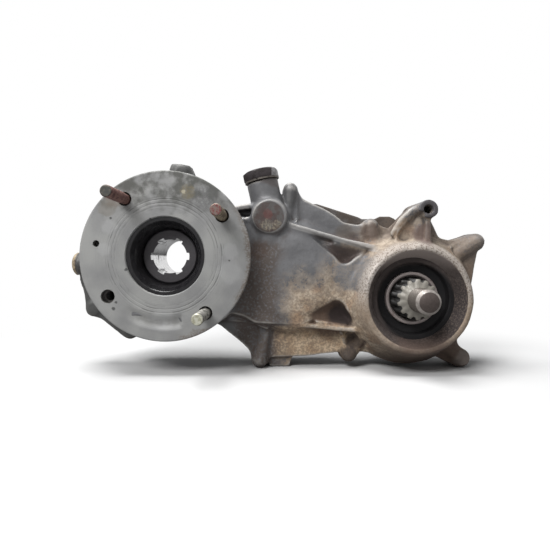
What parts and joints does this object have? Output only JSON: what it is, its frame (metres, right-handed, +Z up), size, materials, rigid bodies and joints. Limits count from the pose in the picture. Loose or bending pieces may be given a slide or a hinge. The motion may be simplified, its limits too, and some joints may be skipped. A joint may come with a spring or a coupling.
{
  "type": "transfer case",
  "caption": "Gear-driven drop box with a round bolted input flange, splined input bore, idler gear and a splined, threaded output shaft to one side.",
  "frame": {"origin": "centre of the input flange's machined front face, on the input axis", "axes": "+X from the input towards the output side, +Y from the input face back through the case along the shafts, +Z up as the box stands"},
  "size_m": [0.3975, 0.1345, 0.1984],
  "materials": {
    "case_casting": "rough cast, greasy and stained",
    "gasket_paper": "matte",
    "bolt_steel": "dull zinc",
    "stud_steel": "worn zinc",
    "plug_steel": "dark oxide with rust",
    "washer_aluminium": "satin",
    "plug_brass": "stained",
    "seal_rubber": "oily",
    "hub_steel": "oily machined steel",
    "gear_steel": "oily machined steel",
    "shaft_steel": "worn steel",
    "race_steel": "ground",
    "ball_steel": "polished",
    "cage_brass": "satin"
  },
  "bodies": {
    "case": {"front_case": "case_casting", "rear_case": "case_casting", "case_gasket": "gasket_paper", "case_bolts": "bolt_steel", "dowel_pins": "bolt_steel", "input_studs": "stud_steel", "filler_plug": "plug_steel", "filler_washer": "washer_aluminium", "level_plug": "plug_brass", "level_washer": "washer_aluminium", "drain_plug": "plug_brass", "drain_washer": "washer_aluminium", "input_front_seal": "seal_rubber", "input_rear_seal": "seal_rubber", "output_seal": "seal_rubber", "input_front_outer_race": "race_steel", "input_rear_outer_race": "race_steel", "idler_front_outer_race": "race_steel", "idler_rear_outer_race": "race_steel", "output_front_outer_race": "race_steel", "output_rear_outer_race": "race_steel"},
    "input": {"input_gear": "hub_steel", "input_front_inner_race": "race_steel", "input_rear_inner_race": "race_steel"},
    "idler": {"idler_gear": "gear_steel", "idler_front_inner_race": "race_steel", "idler_rear_inner_race": "race_steel"},
    "output": {"output_shaft": "shaft_steel", "output_gear": "gear_steel", "output_sleeve": "shaft_steel", "output_front_inner_race": "race_steel", "output_rear_inner_race": "race_steel"},
    "input_front_ball_set": {"input_front_balls": "ball_steel", "input_front_cage": "cage_brass"},
    "input_rear_ball_set": {"input_rear_balls": "ball_steel", "input_rear_cage": "cage_brass"},
    "idler_front_ball_set": {"idler_front_balls": "ball_steel", "idler_front_cage": "cage_brass"},
    "idler_rear_ball_set": {"idler_rear_balls": "ball_steel", "idler_rear_cage": "cage_brass"},
    "output_front_ball_set": {"output_front_balls": "ball_steel", "output_front_cage": "cage_brass"},
    "output_rear_ball_set": {"output_rear_balls": "ball_steel", "output_rear_cage": "cage_brass"}
  },
  "joints": [
    {"name": "input_spin", "type": "hinge", "parent": "case", "child": "input", "pos_m": [0, 0.055, 0], "axis": [0, 1, 0], "continuous": true},
    {"name": "idler_spin", "type": "hinge", "parent": "case", "child": "idler", "pos_m": [0.11234, 0.055, -0.0194], "axis": [0, 1, 0], "continuous": true},
    {"name": "output_spin", "type": "hinge", "parent": "case", "child": "output", "pos_m": [0.22467, 0.055, -0.03881], "axis": [0, 1, 0], "continuous": true},
    {"name": "input_front_ball_orbit", "type": "hinge", "parent": "case", "child": "input_front_ball_set", "pos_m": [0, 0.055, 0], "axis": [0, 1, 0], "continuous": true},
    {"name": "input_rear_ball_orbit", "type": "hinge", "parent": "case", "child": "input_rear_ball_set", "pos_m": [0, 0.055, 0], "axis": [0, 1, 0], "continuous": true},
    {"name": "idler_front_ball_orbit", "type": "hinge", "parent": "case", "child": "idler_front_ball_set", "pos_m": [0.11234, 0.055, -0.0194], "axis": [0, 1, 0], "continuous": true},
    {"name": "idler_rear_ball_orbit", "type": "hinge", "parent": "case", "child": "idler_rear_ball_set", "pos_m": [0.11234, 0.055, -0.0194], "axis": [0, 1, 0], "continuous": true},
    {"name": "output_front_ball_orbit", "type": "hinge", "parent": "case", "child": "output_front_ball_set", "pos_m": [0.22467, 0.055, -0.03881], "axis": [0, 1, 0], "continuous": true},
    {"name": "output_rear_ball_orbit", "type": "hinge", "parent": "case", "child": "output_rear_ball_set", "pos_m": [0.22467, 0.055, -0.03881], "axis": [0, 1, 0], "continuous": true}
  ],
  "couplings": [
    {"joint": "idler_spin", "follows": "input_spin", "ratio": -0.80952},
    {"joint": "output_spin", "follows": "input_spin", "ratio": 1},
    {"joint": "input_front_ball_orbit", "follows": "input_spin", "ratio": 0.43892},
    {"joint": "input_rear_ball_orbit", "follows": "input_spin", "ratio": 0.43892},
    {"joint": "idler_front_ball_orbit", "follows": "input_spin", "ratio": -0.32099},
    {"joint": "idler_rear_ball_orbit", "follows": "input_spin", "ratio": -0.32099},
    {"joint": "output_front_ball_orbit", "follows": "input_spin", "ratio": 0.4},
    {"joint": "output_rear_ball_orbit", "follows": "input_spin", "ratio": 0.39626}
  ]
}
